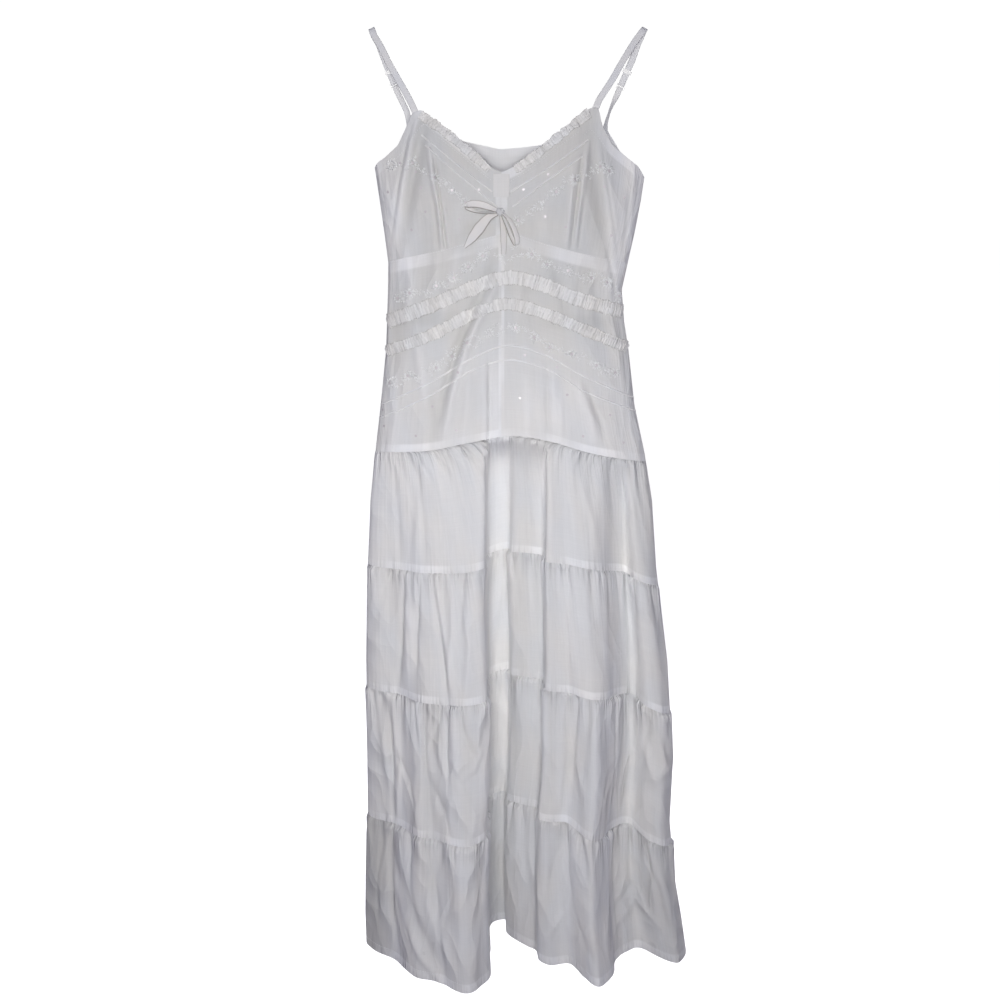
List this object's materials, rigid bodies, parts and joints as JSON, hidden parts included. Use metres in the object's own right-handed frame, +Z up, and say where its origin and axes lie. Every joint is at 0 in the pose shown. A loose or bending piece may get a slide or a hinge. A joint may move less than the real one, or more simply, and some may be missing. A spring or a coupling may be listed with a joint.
{
  "type": "maxi dress",
  "caption": "White cotton maxi dress with thin straps, V neckline with a small bow, ruched chevron midriff and a gathered tiered skirt, hanging by its straps",
  "frame": {"origin": "the strap_hang mount: on the dress's middle line, level with the undersides of its two strap tops, where it hangs", "axes": "+X to the right seen from the front, +Y to the back, so the front faces -Y, +Z up to the straps; the dress reaches down along -Z"},
  "size_m": [0.4966, 0.2846, 1.3661],
  "materials": {
    "cotton_voile": "matt plain weave cotton voile, slightly sheer, white",
    "strap_cloth": "matt white cotton, folded and stitched into narrow bands",
    "slider_plastic": "smooth translucent white plastic"
  },
  "bodies": {
    "root": {"bodice_front_left": "cotton_voile", "bodice_front_right": "cotton_voile", "bodice_back": "cotton_voile", "midriff_front_left": "cotton_voile", "midriff_front_right": "cotton_voile", "midriff_back": "cotton_voile", "tier_1_front": "cotton_voile", "tier_1_back": "cotton_voile", "tier_2_front": "cotton_voile", "tier_2_back": "cotton_voile", "tier_3_front": "cotton_voile", "tier_3_back": "cotton_voile", "tier_4_front": "cotton_voile", "tier_4_back": "cotton_voile", "ruche_upper": "cotton_voile", "ruche_lower": "cotton_voile", "neck_ruffle_left": "cotton_voile", "neck_ruffle_right": "cotton_voile", "centre_band": "cotton_voile", "strap_left": "strap_cloth", "back_strap_left": "strap_cloth", "ring_left": "slider_plastic", "slider_left": "slider_plastic", "strap_right": "strap_cloth", "back_strap_right": "strap_cloth", "ring_right": "slider_plastic", "slider_right": "slider_plastic", "tie_bow": "strap_cloth"}
  },
  "joints": []
}
